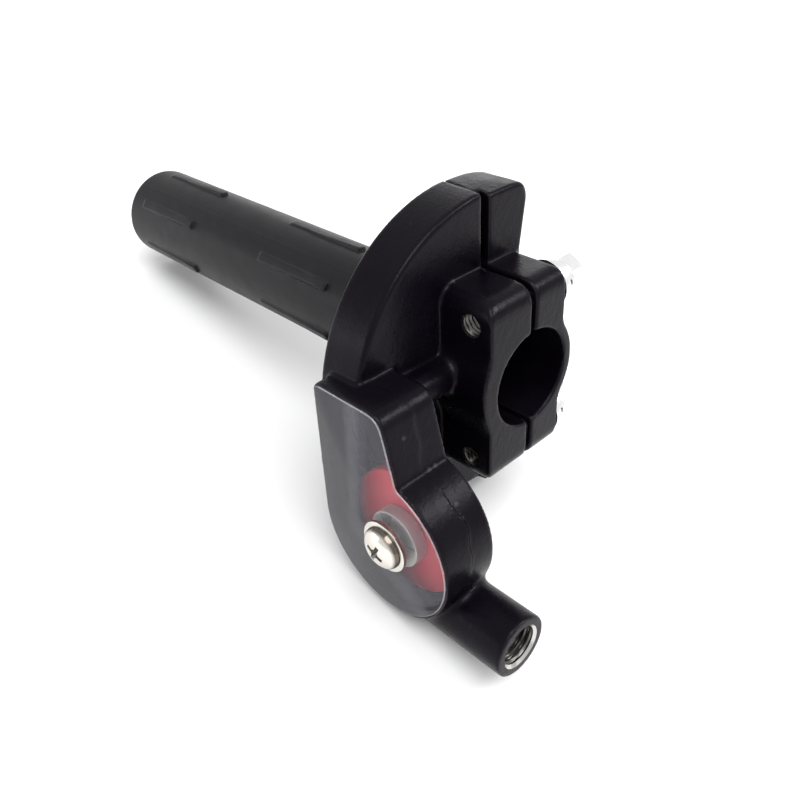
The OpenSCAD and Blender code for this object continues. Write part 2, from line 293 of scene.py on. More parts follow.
def tube_plastic():
    """Satin black moulding with flow lines along the tube and a little dust."""
    s = Shader("tube_plastic")
    flow = s.noise(1.0, 4, s.stretched((60.0, 500.0, 500.0)))
    colour = s.mix(s.spread(flow, 0.3, 0.7), (0.0055, 0.0052, 0.0068), (0.0075, 0.0072, 0.0088))
    dust = s.maths("MULTIPLY", s.specks(500, 0.09), s.noise(80, 2))
    colour = s.mix(s.maths("MULTIPLY", dust, 0.4), colour, (0.3, 0.3, 0.3))
    rough = s.spread(s.noise(200, 4), 0.3, 0.7, 0.38, 0.45)
    lines = s.bump(flow, 0.00005, 0.25)
    s.base(Base_Color=colour, Roughness=rough, Specular_IOR_Level=0.18,
           Normal=s.bump(s.noise(900, 2), 0.00004, 0.3, lines))
    return s.material


def bright_metal(name, light, dark, rough, grain=0.1, seat_shade=None):
    """Plated or bare metal with faint clouding and a fine grain, and painted shade between two depths."""
    s = Shader(name)
    cloud = s.noise(300, 4)
    colour = s.mix(s.spread(cloud, 0.3, 0.7), dark, light)
    # painted shade: darker brown towards the seat of a screw's head, standing in for the dark reflection
    # under it
    if seat_shade:
        depth = s.node("SeparateXYZ", {"Vector": s.place}).outputs["Y"]
        seat_shade_mask = s.maths("MULTIPLY", s.spread(depth, seat_shade[0] * MM, seat_shade[1] * MM), 0.92)
        colour = s.mix(seat_shade_mask, colour, (0.09, 0.07, 0.055))
    s.base(Base_Color=colour, Metallic=1.0,
           Roughness=s.spread(s.noise(700, 3), 0.3, 0.7, rough, rough + 0.08))
    height = s.noise(2600, 3)
    s.base(Normal=s.bump(height, 0.00001, grain))
    return s.material


def red_nylon():
    s = Shader("red_nylon")
    cloud = s.noise(150, 3)
    colour = s.mix(s.spread(cloud, 0.3, 0.7), (0.60, 0.015, 0.03), (0.74, 0.035, 0.055))
    s.base(Base_Color=colour, Roughness=s.spread(s.noise(500, 3), 0.3, 0.7, 0.3, 0.42),
           Normal=s.bump(s.noise(1100, 2), 0.00003, 0.2))
    return s.material


def clear_window():
    """Clear sheet with a faint haze, fine scratches, specks of dust, and painted shade over the roller
    where it lies in shade.
    """
    s = Shader("clear_window")
    scratch = s.noise(1.0, 2, s.stretched((500.0, 300.0, 60.0)), 0.4)
    fine = s.maths("MULTIPLY", s.spread(scratch, 0.62, 0.8), 0.03)
    dirt = s.maths("MULTIPLY", s.specks(330, 0.10), 0.6)
    cloud = s.spread(s.noise(70, 4), 0.3, 0.7, 0.11, 0.135)
    part = s.node("SeparateXYZ", {"Vector": s.place}).outputs
    waves = s.maths("MULTIPLY", s.noise(55, 2), 0.004)

    def roller_shade_towards(x, z, start, width):
        """Painted shade that thickens in one direction, from a distance past the round end's centre."""
        along = s.maths("MULTIPLY_ADD", part["X"], x, s.maths("MULTIPLY", part["Z"], z))
        begin = x * WIN_X + z * WIN_Z + start
        return s.spread(s.maths("ADD", along, waves), begin * MM, (begin + width) * MM)

    # painted shade: the sheet turns darker and more opaque low down and outboard, standing in for the
    # shade on the roller behind it
    roller_shade = s.maths("MAXIMUM", roller_shade_towards(-0.588, -0.809, 2.8, 7), roller_shade_towards(-1.0, 0.12, 8.4, 5))
    haze = s.maths("MULTIPLY_ADD", roller_shade, 0.6, cloud)
    alpha = s.maths("ADD", s.maths("ADD", dirt, fine), haze)
    # the painted shade also darkens the sheet's colour as it thickens
    colour = s.mix(roller_shade, (0.33, 0.325, 0.37), (0.040, 0.038, 0.048))
    rough = s.spread(s.noise(400, 3), 0.3, 0.7, 0.10, 0.2)
    s.base(Base_Color=colour, Roughness=rough, Alpha=alpha, Specular_IOR_Level=0.45)
    return s.material


def window_edge():
    """Sawn and flamed edge of the clear sheet: bright and frosted."""
    s = Shader("window_edge")
    colour = s.mix(s.noise(500, 4), (0.22, 0.22, 0.24), (0.5, 0.5, 0.52))
    s.base(Base_Color=colour, Roughness=s.spread(s.noise(800, 3), 0.3, 0.7, 0.15, 0.3),
           Transmission_Weight=0.4, Normal=s.bump(s.noise(900, 2), 0.00003, 0.3))
    return s.material


def paper_floor():
    s = Shader("paper_floor")
    colour = s.mix(s.noise(4, 2), (0.86, 0.86, 0.865), (0.88, 0.88, 0.88))
    s.base(Base_Color=colour, Roughness=0.9, Specular_IOR_Level=0.2)
    return s.material


# ---- meshes ----
def make_object(name, verts, faces, materials, turn_out=True):
    """An object from points in millimetres; turn_out makes its faces point outwards."""
    mesh = bpy.data.meshes.new(name)
    mesh.from_pydata((np.asarray(verts) * MM).tolist(), [], faces)
    if turn_out:
        work = bmesh.new()
        work.from_mesh(mesh)
        bmesh.ops.recalc_face_normals(work, faces=work.faces)
        work.to_mesh(mesh)
        work.free()
    for material in materials:
        mesh.materials.append(material)
    made = bpy.data.objects.new(name, mesh)
    bpy.context.collection.objects.link(made)
    return made


def finish_piece(piece, body, node, angle=32.0):
    """Smooth shading with sharp edges kept; the piece rides on its body and stands for a node."""
    piece.data.shade_smooth()
    piece.data.set_sharp_from_angle(angle=math.radians(angle))
    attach(piece, body)
    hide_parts(node)
    return piece


def bake_modifiers(piece):
    graph = bpy.context.evaluated_depsgraph_get()
    mesh = bpy.data.meshes.new_from_object(piece.evaluated_get(graph))
    piece.modifiers.clear()
    piece.data = mesh


def combine(piece, tools, operation="DIFFERENCE"):
    """Cut the tools from the piece, or fuse them to it; cut faces keep the tool's material."""
    for tool in tools:
        step = piece.modifiers.new("combine", "BOOLEAN")
        step.operation, step.solver, step.object = operation, "MANIFOLD", tool
        if operation == "DIFFERENCE":
            step.material_mode = "TRANSFER"
    bake_modifiers(piece)
    for tool in tools:
        bpy.data.objects.remove(tool)


def ring_faces(rows, segments, closed):
    """Quads between rows of points; closed joins the last row to the first, else both are capped."""
    faces = []
    for k in range(rows if closed else rows - 1):
        a, b = k * segments, (k + 1) % rows * segments
        for i in range(segments):
            j = (i + 1) % segments
            faces.append((a + i, a + j, b + j, b + i))
    if not closed:
        faces.append(tuple(range(segments - 1, -1, -1)))
        faces.append(tuple((rows - 1) * segments + i for i in range(segments)))
    return faces


def turned(name, rows, segments, materials, axis, place, closed=False, start=0.0):
    """A turned body. Each row is (radius or radius by angle, position along the axis)."""
    turn = start + np.linspace(0, 2 * math.pi, segments, endpoint=False)
    rings = []
    for radius, along in rows:
        r = radius(turn) if callable(radius) else radius
        ring = np.stack([r * np.cos(turn), r * np.sin(turn), np.full(segments, float(along))], 1)
        rings.append(ring)
    verts = np.concatenate(rings)
    if axis == "x":
        verts = verts[:, [2, 0, 1]]
    elif axis == "y":
        verts = verts[:, [1, 2, 0]]
    faces = ring_faces(len(rows), segments, closed)
    return make_object(name, verts + np.array(place), faces, materials)


def rounded(corners, radius, steps=4):
    """A closed profile with its corners rounded by curves of about the radius."""
    points = []
    count = len(corners)
    for k, here in enumerate(corners):
        here = np.array(here, float)
        before = np.array(corners[k - 1], float) - here
        after = np.array(corners[(k + 1) % count], float) - here
        cut = min(radius, 0.45 * np.linalg.norm(before), 0.45 * np.linalg.norm(after))
        a = here + before / np.linalg.norm(before) * cut
        b = here + after / np.linalg.norm(after) * cut
        for t in np.linspace(0, 1, steps):
            points.append(tuple((1 - t) ** 2 * a + 2 * t * (1 - t) * here + t * t * b))
    return points


def thread_tool(place, axis, away, thread, depth, material):
    """A tapping tool whose thread fades in behind the mouth, which is at place."""
    minor, major, pitch = thread
    step = pitch / 8
    rows = []
    for z in np.arange(-depth, 1.0 + step, step):
        def radius(turn, z=z):
            phase = (z / pitch - turn / (2 * math.pi)) % 1.0
            tooth = np.clip(1.5 * (1 - np.abs(2 * phase - 1)) - 0.25, 0, 1)
            return minor + (major - minor) * tooth * min(1.0, max(0.0, -z / pitch - 0.3))
        rows.append((radius, away * z))
    if away < 0:
        rows.reverse()
    return turned("tap", rows, 48, [material], axis, place)


def drill(radius, start, end, axis, place, material, segments=24):
    """A plain round cutting tool between two places along an axis."""
    return turned("drill", [(radius, start), (radius, end)], segments, [material], axis, place)


# ---- distances (mm): negative inside ----
def blend_min(a, b, k):
    h = np.clip(0.5 + 0.5 * (b - a) / k, 0, 1)
    return b * (1 - h) + a * h - k * h * (1 - h)


def blend_max(a, b, k):
    return -blend_min(-a, -b, k)


def radial(u, v, cu=0.0, cv=0.0):
    return np.hypot(u - cu, v - cv)


def drawn(shape, w, low, high, edge):
    """A 2-D distance drawn out along w from low to high, with rounded end edges."""
    a = shape + edge
    b = np.abs(w - (low + high) / 2) - (high - low) / 2 + edge
    return np.minimum(np.maximum(a, b), 0) + radial(np.maximum(a, 0), np.maximum(b, 0)) - edge


def rectangle(u, v, u0, u1, v0, v1, corner):
    a = np.abs(u - (u0 + u1) / 2) - (u1 - u0) / 2 + corner
    b = np.abs(v - (v0 + v1) / 2) - (v1 - v0) / 2 + corner
    return np.minimum(np.maximum(a, b), 0) + radial(np.maximum(a, 0), np.maximum(b, 0)) - corner


def outline_distance(u, v, points):
    near = np.full(np.broadcast(u, v).shape, 1e9)
    inside = np.zeros(near.shape, bool)
    for a, b in zip(points, np.roll(points, -1, 0)):
        e = b - a
        t = np.clip(((u - a[0]) * e[0] + (v - a[1]) * e[1]) / (e @ e), 0, 1)
        near = np.minimum(near, (u - a[0] - e[0] * t) ** 2 + (v - a[1] - e[1] * t) ** 2)
        if a[1] != b[1]:
            across = ((a[1] <= v) != (b[1] <= v)) & (a[0] + (v - a[1]) / e[1] * e[0] > u)
            inside ^= across
    return np.where(inside, -1, 1) * np.sqrt(near)


def surface_net(distance, low, step):
    """Points and quads of the zero level of a grid of distances."""
    inside = distance < 0
    size = tuple(k - 1 for k in distance.shape)
    corners = [(i, j, k) for i in (0, 1) for j in (0, 1) for k in (0, 1)]
    count = np.zeros(size, np.int8)
    for c in corners:
        count += inside[tuple(slice(o, o + m) for o, m in zip(c, size))]
    cells = np.argwhere((count > 0) & (count < 8))
    ids = np.full(size, -1, np.int32)
    ids[tuple(cells.T)] = np.arange(len(cells))
    total, hits = np.zeros((len(cells), 3)), np.zeros(len(cells))
    for axis in range(3):
        for c in corners:
            if c[axis]:
                continue
            d = list(c)
            d[axis] = 1
            a, b = distance[tuple((cells + c).T)], distance[tuple((cells + d).T)]
            crossed = (a < 0) != (b < 0)
            point = np.repeat(np.array(c, float)[None], len(cells), 0)
            point[:, axis] = np.where(crossed, a / np.where(crossed, a - b, 1), 0)
            total += point * crossed[:, None]
            hits += crossed
    points = low + step * (cells + total / hits[:, None])
    quads = []
    for axis in range(3):
        u, v = (axis + 1) % 3, (axis + 2) % 3
        first, second = [slice(None)] * 3, [slice(None)] * 3
        first[axis], second[axis] = slice(0, -1), slice(1, None)
        a, b = inside[tuple(first)], inside[tuple(second)]
        edges = np.argwhere(a != b)
        ring = []
        for du, dv in ((1, 1), (0, 1), (0, 0), (1, 0)):
            cell = edges.copy()
            cell[:, u] -= du
            cell[:, v] -= dv
            ring.append(ids[tuple(cell.T)])
        ring = np.stack(ring, 1)
        flip = ~a[tuple(edges.T)]
        ring[flip] = ring[flip][:, ::-1]
        quads.append(ring)
    return points, np.concatenate(quads)


def settle(points, distance, low, step):
    """Move the points onto the zero level, along the distance's slope."""
    slopes = np.gradient(distance, step)
    at = (points - low) / step
    base = np.floor(at).astype(int)
    part = at - base
    value, slope = np.zeros(len(points)), np.zeros((len(points), 3))
    for i in (0, 1):
        for j in (0, 1):
            for k in (0, 1):
                weight = np.ones(len(points))
                for axis, side in enumerate((i, j, k)):
                    weight *= part[:, axis] if side else 1 - part[:, axis]
                where = tuple((base + (i, j, k)).T)
                value += weight * distance[where]
                slope += weight[:, None] * np.stack([s[where] for s in slopes], 1)
    return points - slope * (value / np.maximum((slope ** 2).sum(1), 0.3))[:, None]


def casting(name, field, low, high, material):
    """A mesh of the zero level of a field of distances, within a box with a margin round it."""
    margin = 3 * GRID
    axes = [np.arange(a - margin, b + margin, GRID) for a, b in zip(low, high)]
    x, y, z = axes[0][:, None, None], axes[1][None, :, None], axes[2][None, None, :]
    distance = field(x, y, z)
    # a casting is never quite even
    distance = distance + 0.008 * (np.sin(0.9 * x + 1.3 * y) * np.sin(1.1 * z - 0.7 * y)
                                   + np.sin(0.5 * y - 0.8 * z) * np.sin(0.6 * x + 0.4 * z))
    start = np.array([a[0] for a in axes])
    points, quads = surface_net(distance, start, GRID)
    for _ in range(2):
        points = settle(points, distance, start, GRID)
    return make_object(name, points, quads.tolist(), [material], False)


# ---- the window arm's outline ----
def arc(centre, radius, start, end, count):
    return [centre + radius * np.array([math.cos(a), math.sin(a)]) for a in np.linspace(start, end, count)]


def evened(path, spacing):
    """A closed path with its points evenly spaced and its corners softened."""
    path = np.array(path)
    gaps = np.linalg.norm(np.roll(path, -1, 0) - path, axis=1)
    along = np.concatenate([[0], np.cumsum(gaps)])
    ring = np.vstack([path, path[:1]])
    spots = np.linspace(0, along[-1], int(along[-1] / spacing), endpoint=False)
    even = np.stack([np.interp(spots, along, ring[:, k]) for k in (0, 1)], 1)
    for _ in range(3):
        even = 0.5 * even + 0.25 * (np.roll(even, 1, 0) + np.roll(even, -1, 0))
    return even


def arm_outline(grow=0.0):
    """Points of the window's outline in X and Z, grown by some millimetres."""
    centre, corner = np.array([WIN_X, WIN_Z]), np.array([CORNER_X, CORNER_Z])
    big, small = WIN_R + grow, CORNER_R + grow
    left, high = WIN_X - big, CORNER_Z + small
    side = np.array([0.2409, -0.9706])            # down the slanting side
    normal = np.array([0.9707, 0.2403])
    top = corner + small * normal
    across = top - centre
    half = across @ side
    run = -half - math.sqrt(half ** 2 - across @ across + big ** 2)
    meet = top + side * run - centre              # where the side enters the round end
    path = arc(centre, big, math.pi, math.atan2(meet[1], meet[0]) + 2 * math.pi, 90)
    path += arc(corner, small, math.atan2(normal[1], normal[0]), math.pi / 2, 12)
    path += [np.array([left + 1.5, high]), np.array([left + 0.5, high - 1])]      # outboard corner
    return evened(path, 0.5)


def plate(name, levels, materials):
    """A plate in the arm's outline: levels are pairs of (growth, Y), from front to back."""
    count = len(arm_outline())
    rings = []
    for grow, y in levels:
        ring = arm_outline(grow)
        at = np.linspace(0, len(ring), count, endpoint=False)
        k = np.floor(at).astype(int)
        part = (at - k)[:, None]
        ring = ring[k] * (1 - part) + np.roll(ring, -1, 0)[k] * part
        rings.append(np.stack([ring[:, 0], np.full(count, y), ring[:, 1]], 1))
    return make_object(name, np.concatenate(rings), ring_faces(len(rings), count, False), materials)


def parting(z):
    """How far the parting line wanders from its plane, by height."""
    return 0.5 * np.sin(0.35 * z) + 0.3 * np.sin(0.9 * z + 1.0)


def parting_crack(material):
    """A cutting tool for the fine dark crack along the barrel's parting line."""
    steps, start, end = 120, -38, 62              # degrees round the window's round end
    points = []
    for turn in np.linspace(start, end, steps):
        away = abs(turn - (start + end) / 2) / ((end - start) / 2)
        turn = math.radians(turn)
        out = np.array([math.cos(turn), 0, math.sin(turn)])
        taper = min(1.0, 4 * (1.02 - away))
        y = PARTING_Y + float(parting(WIN_Z + WIN_R * math.sin(turn)))
        root, mouth = (WIN_R + CASE + 0.05 - 0.45 * taper, 0.04), (WIN_R + CASE + 0.7, 0.22)
        for (reach, half), sides in ((root, (-1, 1)), (mouth, (1, -1))):
            for side in sides:
                points.append(np.array([WIN_X, y + side * half * taper, WIN_Z]) + out * reach)
    return make_object("crack", points, ring_faces(steps, 4, False), [material])


# ---- the two castings ----
def clamp_block(profile, x, z, edge, blend):
    """A clamp half: a profile drawn out along the bar, its corners round as seen from the front."""
    block = drawn(profile, x, DISC_IN - 3, 0, edge)
    return blend_max(block, rectangle(x, z, -40, 0, -CLAMP_H, CLAMP_H, CLAMP_CORNER), blend)


def front_cover(x, y, z):
    """Drum cover: drafted rim, and a flat underside left rough where its gate was trimmed."""
    rim = DISC_R - RIM_DRAFT * (x - DISC_OUT) / (DISC_IN - DISC_OUT)
    under = DISC_FLAT - z + 0.22 * np.abs(np.sin(1.7 * y + 0.8 * np.sin(1.1 * y)))
    return drawn(blend_max(radial(y, z) - rim, under, 0.9), x, DISC_OUT, DISC_IN, 0.85)


def front_clamp(x, y, z):
    profile = rectangle(y, z, CLAMP_FRONT, 20, -CLAMP_H, CLAMP_H, 4.0)
    profile = blend_min(profile, radial(y, z, 0, BULGE_UP) - BULGE_FRONT, 1.2)
    return clamp_block(profile, x, z, 0.55, 0.9)


def outlet_pipe(x, y, z):
    off_axis = radial(y, z, CABLE_Y, PIPE_Z)
    pipe = drawn(off_axis - PIPE_R, x, PIPE_START, PIPE_END, 0.45)
    ball = np.sqrt((x - PIPE_START) ** 2 + off_axis ** 2) - PIPE_R
    return blend_min(pipe, ball, 0.3)


def window_arm(x, y, z, outline):
    """The arm with its pipe and boss. Its front die half stands a little proud of the rear one."""
    rear = 1 / (1 + np.exp(-np.clip((y - PARTING_Y - parting(z)) / 0.12, -40, 40)))
    shape = outline - CASE + 0.15 * rear
    arm = drawn(shape, y, ARM_FRONT, ARM_BACK - 0.5, 0.35)
    arm = blend_max(arm, drawn(shape, y, ARM_FRONT - 5, ARM_BACK, 1.3), 0.1)
    boss = drawn(radial(x, z, ROLL_X, ROLL_Z) - BOSS_R, y, ARM_BACK - 2, BOSS_BACK, 0.6)
    arm = blend_min(arm, outlet_pipe(x, y, z), 2.2)
    arm = blend_min(arm, boss, 1.4)
    # a little flash left at the pipe's root
    flash = np.sqrt((x - 2.2) ** 2 + (y - CABLE_Y + 4.0) ** 2 + (z - PIPE_Z - 5.9) ** 2) - 0.9
    return blend_min(arm, flash, 0.8)


def front_field(x, y, z):
    """Front half: drum cover, clamp half, rib and arm, less their chambers and bores."""
    outline = outline_distance(x, z, arm_outline())
    rib = drawn(radial(x, z, RIB_X, RIB_Z) - RIB_R, y, ARM_BACK - 2, CLAMP_FRONT + 2, 0.5)
    body = blend_min(front_cover(x, y, z), front_clamp(x, y, z), 0.95)
    body = blend_min(body, rib, 1.6)
    body = blend_max(body, y - SPLIT_FRONT, 0.35)
    body = blend_min(body, window_arm(x, y, z, outline), 1.1)
    # drum chamber, arm chamber with the roller's pad
    hollow = blend_max(radial(y, z) - CAVE_R, DISC_FLAT + FLAT_WALL - z, 0.5)
    hollow = drawn(hollow, x, CAVE_OUT, CAVE_IN, 0.5)
    body = blend_max(body, -hollow, 0.4)
    room = drawn(outline - CHAMBER, y, WIN_BACK - 0.4, ARM_FLOOR, 0.4)
    pad = drawn(radial(x, z, ROLL_X, ROLL_Z) - PAD_R, y, PAD_Y, ARM_FLOOR + 1, 0.3)
    body = blend_max(body, -blend_max(room, -pad, 0.4), 0.4)
    return bored(body, x, y, z)


def bored(body, x, y, z):
    """The bar's bore with its lead and the tube's bearing, cut from either half."""
    r = radial(y, z)
    lead = BAR_R + np.clip(x + 0.5, 0, 0.8)
    bore = np.maximum(r - lead, CAVE_IN - 0.5 - x)
    bearing = np.maximum(r - TUBE_R - PLAY, x - CAVE_OUT - 0.5)
    return blend_max(blend_max(body, -bore, 0.35), -bearing, 0.35)


def cap_cover(x, y, height, r, rear):
    """Drum cover: round rim, shoulders, rear face with a bulge, and the step along the split."""
    profile = blend_max(r - DISC_R, rear, 3.7)
    profile = blend_min(profile, r - CAP_BULGE, 3.0)
    slope = (DISC_R - CAP_H) / (DISC_IN - DISC_OUT)
    shoulder = (height - CAP_H - (DISC_IN - x) * slope) * 0.99
    body = blend_max(drawn(profile, x, DISC_OUT, DISC_IN, 0.8), shoulder, 0.8)
    step = blend_min(x - (CAVE_IN - 0.6), WALL_EDGE - y, 0.5)
    return blend_max(body, blend_max(LIP - y, step, 0.25), 0.45)


def cap_clamp(x, y, z, r):
    profile = rectangle(y, z, -20, CLAMP_REAR, -CLAMP_H, CLAMP_H, 1.6)
    profile = blend_min(profile, r - BULGE_REAR, 1.4)
    block = clamp_block(profile, x, z, 0.6, 1.1)
    return np.maximum(blend_max(block, SPLIT_REAR - y, 0.7), SPLIT_REAR - y)


def cap_field(x, y, z):
    """Rear cap: drum cover and clamp half, less the drum chamber, bores and bolt holes."""
    r, height = radial(y, z), np.abs(z)
    sloping = (y - CAP_FLAT - CAP_SLOPE * (height - CAP_FLAT_H)) * 0.988
    rear = np.minimum(y - CAP_FLAT, sloping)
    body = blend_min(cap_cover(x, y, height, r, rear), cap_clamp(x, y, z, r), 0.95)
    inner = blend_max(rear + WALL, height - CAP_H + 2, 2.0)
    inner = blend_min(inner, r - CAP_BULGE + 1.6, 1.0)
    inner = drawn(inner, x, CAVE_OUT, CAVE_IN, 0.5)
    body = blend_max(body, -inner, 0.4)
    hole = np.minimum(radial(x, z, BOLT_X, BOLT_Z), radial(x, z, BOLT_X, -BOLT_Z)) - BOLT_HOLE_R
    body = blend_max(body, -np.maximum(hole, -1 - y), 0.3)
    return bored(body, x, y, z)


def outlet_tools(bare, bright):
    """Chamfer, thread and cable passage of the outlet."""
    mouth = (PIPE_END, CABLE_Y, PIPE_Z)
    edge = M10_TAP[1]
    chamfer = [(edge - 0.65, -0.65), (edge, 0.0), (edge, 1.0)]
    # the thread and the passage take the darkened bare metal: painted shade inside the outlet
    return [turned("chamfer", chamfer, 64, [bright], "x", mouth),
            thread_tool(mouth, "x", 1, M10_TAP, TAP_L, bare),
            drill(PASSAGE_R, 0, PIPE_END - TAP_L + 3, "x", (0, CABLE_Y, PIPE_Z), bare)]


def front_housing(black, bare, bright):
    """The front casting with its threads, drilled holes, window seat and parting crack."""
    piece = casting("front_housing", front_field, HOUSE_LO, HOUSE_HI, black)
    # the clamp's threads take the darkened bare metal: painted shade inside the holes
    tools = [thread_tool((BOLT_X, CLAMP_FRONT, side * BOLT_Z), "y", -1, M6_TAP,
                         abs(CLAMP_FRONT) + 1, bare) for side in (-1, 1)]
    tools += outlet_tools(bare, bright)
    tools.append(drill(SCREW_HOLE_R, PAD_Y - 3, SCREW_HI[1] + 0.3, "y", ROLL_AXIS, black))
    tools.append(plate("seat", [(PLAY, ARM_FRONT - 2), (PLAY, WIN_BACK)], [black]))
    tools.append(parting_crack(black))
    combine(piece, tools)
    return finish_piece(piece, "housing", "front_housing")


def rear_cap(black):
    piece = casting("rear_cap", cap_field, CAP_LO, CAP_HI, black)
    return finish_piece(piece, "housing", "rear_cap")


# ---- twist tube with its cable drum ----
def with_ribs(body, x, y, z):
    """The grip's ribs, every 60 degrees in two rows, each rising towards its inboard end."""
    for turn in range(24, 360, 60):
        c, s = math.cos(math.radians(turn)), math.sin(math.radians(turn))
        out, across = y * c + z * s, z * c - y * s
        for start in RIB_STARTS:
            near = TUBE_LO[0] + start
            rib = rectangle(x, across, near, near + RIB_LENGTH, -RIB_HALF, RIB_HALF, 0.5)
            rise = 0.35 + 0.5 * np.clip((x - near) / RIB_LENGTH, 0, 1)
            body = blend_min(body, drawn(rib, out - rise, TUBE_R - 3, TUBE_R, 0.2), 0.25)
    return body


def tube_field(x, y, z):
    """Tube and hub with the grip's ribs, less the bore."""
    r = radial(y, z)
    body = drawn(r - TUBE_R, x, TUBE_LO[0], CAVE_IN - 0.3, 0.9)
    hub = drawn(r - HUB_R, x, CAVE_OUT + 0.3, CAVE_IN - 0.3, 0.3)
    body = with_ribs(blend_min(body, hub, 0.4), x, y, z)
    # the mould's parting line, along the two sides
    seam = np.hypot((y + 0.6 * z) / 1.166, r - TUBE_R) - 0.12
    seam = np.maximum(seam, np.maximum(x - DISC_OUT, TUBE_LO[0] + 1.8 - x))
    body = blend_min(body, seam, 0.25)
    return blend_max(body, BORE_R - r, 0.4)


def drum_field(x, y, z):
    """The drum's sector: web, rim with its rope groove, lightening pockets, nipple pocket."""
    r, off_middle = radial(y, z), np.abs(x - DISC_MIDDLE)

    def past(turn):
        """Distance past the plane through the axis at an angle from +Y towards +Z."""
        turn = math.radians(turn)
        return z * math.cos(turn) - y * math.sin(turn)

    ends = blend_max(-past(DRUM_START), past(DRUM_START + DRUM_SPAN), 0.4)
    sector = blend_max(ends, r - DRUM_R, 0.4)
    body = drawn(sector, x, DISC_MIDDLE - DRUM_HALF, DISC_MIDDLE + DRUM_HALF, 0.3)
    body = np.maximum(body, 12.9 - r)
    rope = drawn(np.abs(r - DRUM_R - 0.5) - 2.75, x, DISC_MIDDLE - 0.9, DISC_MIDDLE + 0.9, 0.5)
    body = blend_max(body, -rope, 0.3)
    for first in (DRUM_START + 29, DRUM_START + 58):
        edges = np.maximum(-past(first + 3), past(first + 28))
        pocket = blend_max(edges, np.abs(r - POCKET_R) - POCKET_HALF, 1.5)
        body = blend_max(body, -np.maximum(pocket, 1.0 - off_middle), 0.3)
    turn = math.radians(DRUM_START + 8)
    out, across = y * math.cos(turn) + z * math.sin(turn), z * math.cos(turn) - y * math.sin(turn)
    nipple = np.maximum(radial(out, across, NIPPLE_OUT) - NIPPLE_R, DISC_MIDDLE - 1.4 - x)
    slot = np.maximum(np.maximum(np.abs(across) - 0.8, NIPPLE_OUT + 1 - out), off_middle - 0.8)
    return blend_max(body, -np.minimum(nipple, slot), 0.2)


def throttle_tube(plastic):
    reach = TUBE_R + 1.2          # past the ribs
    piece = casting("throttle_tube", tube_field, (TUBE_LO[0], -reach, -reach),
                    (TUBE_HI[0], reach, reach), plastic)
    drum = casting("drum", drum_field, (DISC_MIDDLE - DRUM_HALF, TUBE_LO[1], TUBE_LO[2]),
                   (DISC_MIDDLE + DRUM_HALF, TUBE_R, TUBE_HI[2]), plastic)
    combine(piece, [drum], "UNION")
    return finish_piece(piece, "twist_tube", "throttle_tube")


# ---- fasteners ----
def screw_rows(low, high, thread):
    """Rows of a screw thread between two places along its axis."""
    minor, major, pitch = thread
    rows = []
    for along in np.arange(low, high, pitch / 8):
        def radius(turn, along=along):
            phase = (along / pitch - turn / (2 * math.pi)) % 1.0
            tooth = np.clip(1.6 * (1 - np.abs(2 * phase - 1)) - 0.3, 0, 1)
            return minor + (major - minor) * tooth
        rows.append((radius, along))
    return rows


def bolt_axis(side):
    return (BOLT_X, 0, side * BOLT_Z)


def ring_section(inner, outer, front, back, round_off):
    """A ring's square section with its corners rounded off."""
    corners = [(inner, front), (outer, front), (outer, back), (inner, back)]
    return rounded(corners, round_off)


def clamp_bolt(zinc, side):
    """Flanged hex bolt M6 x 20, its head behind the washers."""
    seat, top, tip = BOLT_HI[1] - 5.0, BOLT_HI[1], BOLT_HI[1] - 25.0
    flat, shank, root = 4.0, M6_BOLT[1], M6_BOLT[0]

    def hexagon(limit):
        return lambda turn: np.minimum(flat / np.cos(turn % (math.pi / 3) - math.pi / 6), limit)

    rows = [(1.9, tip), (root - 0.05, tip + 0.4)]
    rows += screw_rows(tip + 0.5, seat - 2.0, M6_BOLT)
    rows += [(shank, seat - 1.9), (shank, seat - 0.02), (FLANGE_R - 0.3, seat)]
    rows += [(FLANGE_R - inset, seat + up)
             for inset, up in ((0.05, 0.12), (0.0, 0.35), (0.0, 0.6), (0.1, 0.8), (0.25, 0.95))]
    rows += [(hexagon(4.54), seat + k) for k in (1.0, 1.1, top - seat - 0.6)]
    rows += [(hexagon(3.85 + 1.75 * d), top - d) for d in (0.45, 0.3, 0.15, 0.04)]
    rows += [(3.75, top), (3.3, top), (3.0, top - 0.1), (2.7, top - 0.25), (0.5, top - 0.3)]
    return turned("clamp_bolts", rows, 96, [zinc], "y", bolt_axis(side))


def plain_washer(zinc, side):
    profile = ring_section(3.2, 5.5, PLAIN_LO[1], PLAIN_HI[1], 0.22)
    return turned("plain_washers", profile, 72, [zinc], "y", bolt_axis(side), True)


def spring_washer(zinc, side):
    """One turn of square wire, almost flat, with its ends a little apart."""
    steps, play = 80, 0.06
    profile = ring_section(3.12, 4.98, SPRING_LO[1] + play, SPRING_HI[1] - play, 0.25)
    points = []
    for turn in np.radians(np.linspace(20, 366, steps)):
        lift = 0.05 * (turn - math.pi) / math.pi
        points += [(r * math.cos(turn), y + lift - 0.01, r * math.sin(turn)) for r, y in profile]
    verts = np.array(points) + bolt_axis(side)
    return make_object("spring_washers", verts, ring_faces(steps, len(profile), False), [zinc])


def joined(objects):
    """All the objects' meshes in the first one."""
    work = bmesh.new()
    for piece in objects:
        work.from_mesh(piece.data)
    work.to_mesh(objects[0].data)
    work.free()
    for piece in objects[1:]:
        bpy.data.objects.remove(piece)
    return objects[0]


def clamp_fasteners(zinc):
    for make in (clamp_bolt, plain_washer, spring_washer):
        piece = joined([make(zinc, side) for side in (-1, 1)])
        finish_piece(piece, "housing", piece.name.split(".")[0], 28)


